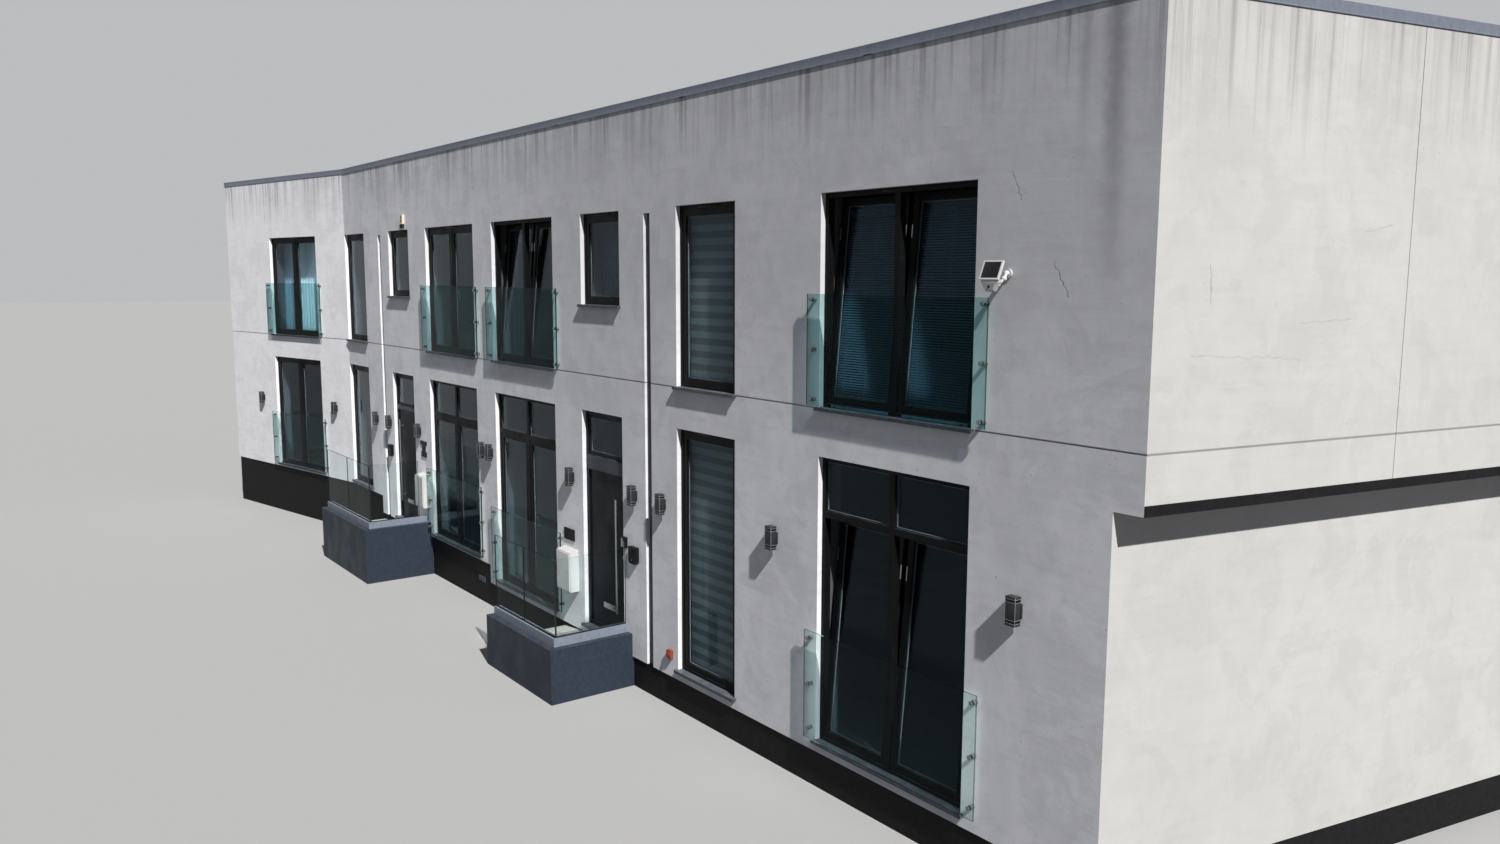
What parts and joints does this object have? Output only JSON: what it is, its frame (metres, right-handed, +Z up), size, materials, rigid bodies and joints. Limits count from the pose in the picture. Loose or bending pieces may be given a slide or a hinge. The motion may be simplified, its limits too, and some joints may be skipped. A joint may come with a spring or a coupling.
{
  "type": "pair of terraced houses",
  "caption": "Two-storey rendered terraced houses under a flat roof, with black windows, glass guards, raised glass-screened entrances and hinged front doors.",
  "frame": {"origin": "on the party line between the two houses, midway through the front wall's thickness, at the lowest ground", "axes": "+X to the right along the main street face, +Y from the street into the houses, +Z up"},
  "size_m": [25.2662, 8.143, 6.934],
  "materials": {
    "render": "matte",
    "base_band": "matte",
    "concrete": "matte",
    "frame_metal": "satin",
    "sill_metal": "satin",
    "coping_metal": "satin",
    "window_glass": "gloss",
    "guard_glass": "gloss",
    "steel": "satin",
    "door_metal": "satin",
    "cladding": "satin",
    "capping_metal": "satin",
    "paving": "matte",
    "light_metal": "satin",
    "white_plastic": "satin",
    "black_plastic": "satin",
    "red_plastic": "satin",
    "blind_metal": "satin",
    "blind_cloth": "matte",
    "curtain_cloth": "matte"
  },
  "bodies": {
    "houses": {"base_walls": "base_band", "ground_floor_right": "concrete", "ground_floor_left": "concrete", "front_wall_lower_left": "render", "front_wall_lower_middle": "render", "front_wall_lower_right": "render", "door_surrounds": "render", "wing_wall_lower": "render", "front_wall_upper": "render", "wing_wall_upper": "render", "gable_wall_lower": "render", "gable_wall_upper": "render", "end_wall": "render", "party_wall": "render", "rear_wall_lower": "render", "rear_wall_upper": "render", "upper_floor_right": "concrete", "upper_floor_left": "concrete", "roof_slab": "concrete", "coping": "coping_metal", "window_frames_upper": "frame_metal", "window_frames_lower": "frame_metal", "sashes_upper": "frame_metal", "sashes_lower": "frame_metal", "window_glass_upper": "window_glass", "window_glass_lower": "window_glass", "sills": "sill_metal", "guard_glass_upper": "guard_glass", "guard_glass_lower": "guard_glass", "guard_standoffs": "steel", "door_frame_right": "door_metal", "door_frame_left": "door_metal", "door_lights": "window_glass", "plinth_right": "cladding", "plinth_left": "cladding", "plinth_cappings": "capping_metal", "plinth_glass_right": "guard_glass", "plinth_glass_left": "guard_glass", "landings": "paving", "rainwater_pipes": "frame_metal", "wall_lights": "light_metal", "meter_boxes": "white_plastic", "post_boxes": "black_plastic", "door_plates": "black_plastic", "security_light": "white_plastic", "alarm_box": "white_plastic", "socket_box": "red_plastic", "gable_flashing": "base_band", "air_brick": "sill_metal", "slat_blinds": "blind_metal", "striped_blinds": "blind_cloth", "curtains": "curtain_cloth"},
    "door_right": {"door_leaf_right": "door_metal", "door_fittings_right": "steel"},
    "door_left": {"door_leaf_left": "door_metal", "door_fittings_left": "steel"}
  },
  "joints": [
    {"name": "door_right_hinge", "type": "hinge", "parent": "houses", "child": "door_right", "pos_m": [2.9925, -0.0127, 0.5], "axis": [0, 0, 1], "range_deg": [0, 90]},
    {"name": "door_left_hinge", "type": "hinge", "parent": "houses", "child": "door_left", "pos_m": [-2.9925, -0.0127, 0.725], "axis": [0, 0, -1], "range_deg": [0, 90]}
  ]
}
